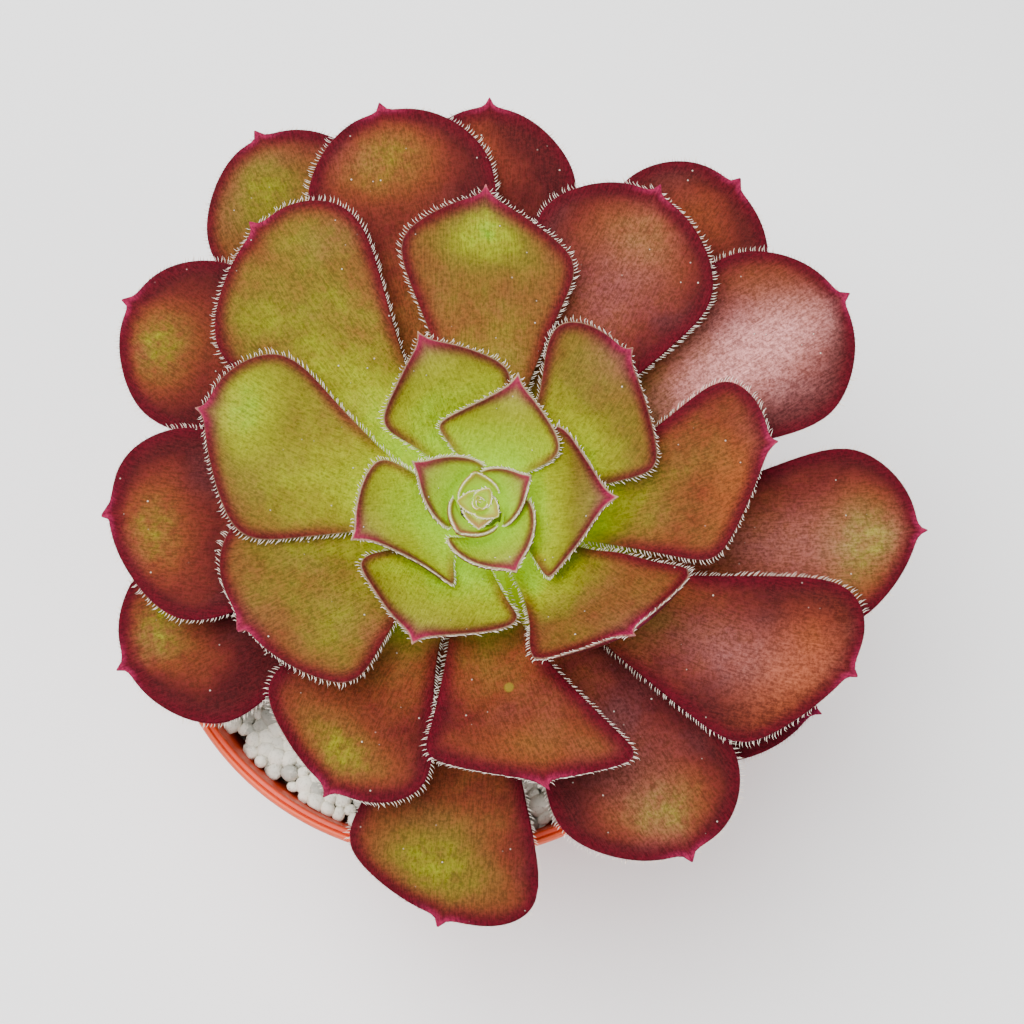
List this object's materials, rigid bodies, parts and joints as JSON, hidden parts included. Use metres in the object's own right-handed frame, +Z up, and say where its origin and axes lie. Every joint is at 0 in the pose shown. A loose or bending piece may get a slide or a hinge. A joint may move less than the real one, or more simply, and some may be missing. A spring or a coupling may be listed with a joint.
{
  "type": "potted aeonium",
  "caption": "Open rosette of velvety spoon-shaped succulent leaves on a short woody stem, in a round tapered plastic pot of potting mix topped with pumice.",
  "frame": {"origin": "centre of the pot's flat underside, on the surface that the pot stands on", "axes": "+Z up along the pot's axis; -Y toward the viewer of the picture, the side that the rosette leans to; +X to the viewer's right"},
  "size_m": [0.1359, 0.1357, 0.1383],
  "materials": {
    "leaf_green": "velvety succulent leaf, bright green with a brown-pink margin",
    "leaf_bronze": "velvety succulent leaf, olive green to bronze with a crimson margin",
    "leaf_burgundy": "velvety succulent leaf, burgundy brown with an olive patch near the tip",
    "heart": "young folded leaflets, yellow green",
    "stem": "short woody stem with leaf scars",
    "pot": "terracotta-orange moulded plastic",
    "mix": "dark fibrous potting mix",
    "pumice": "pale rounded pumice"
  },
  "bodies": {
    "root": {"leaf_01": "leaf_green", "leaf_02": "leaf_green", "leaf_03": "leaf_green", "leaf_04": "leaf_green", "leaf_05": "leaf_green", "leaf_06": "leaf_green", "leaf_07": "leaf_green", "leaf_08": "leaf_green", "leaf_09": "leaf_green", "leaf_10": "leaf_green", "leaf_11": "leaf_bronze", "leaf_12": "leaf_bronze", "leaf_13": "leaf_bronze", "leaf_14": "leaf_bronze", "leaf_15": "leaf_bronze", "leaf_16": "leaf_bronze", "leaf_17": "leaf_bronze", "leaf_18": "leaf_bronze", "leaf_19": "leaf_bronze", "leaf_20": "leaf_burgundy", "leaf_21": "leaf_burgundy", "leaf_22": "leaf_burgundy", "leaf_23": "leaf_burgundy", "leaf_24": "leaf_burgundy", "leaf_25": "leaf_burgundy", "leaf_26": "leaf_burgundy", "leaf_27": "leaf_burgundy", "leaf_28": "leaf_burgundy", "leaf_29": "leaf_burgundy", "leaf_30": "leaf_burgundy", "leaf_31": "leaf_burgundy", "leaf_32": "leaf_burgundy", "leaf_33": "leaf_burgundy", "heart_bud": "heart", "stem": "stem", "pot": "pot", "potting_mix": "mix", "pumice": "pumice"}
  },
  "joints": []
}
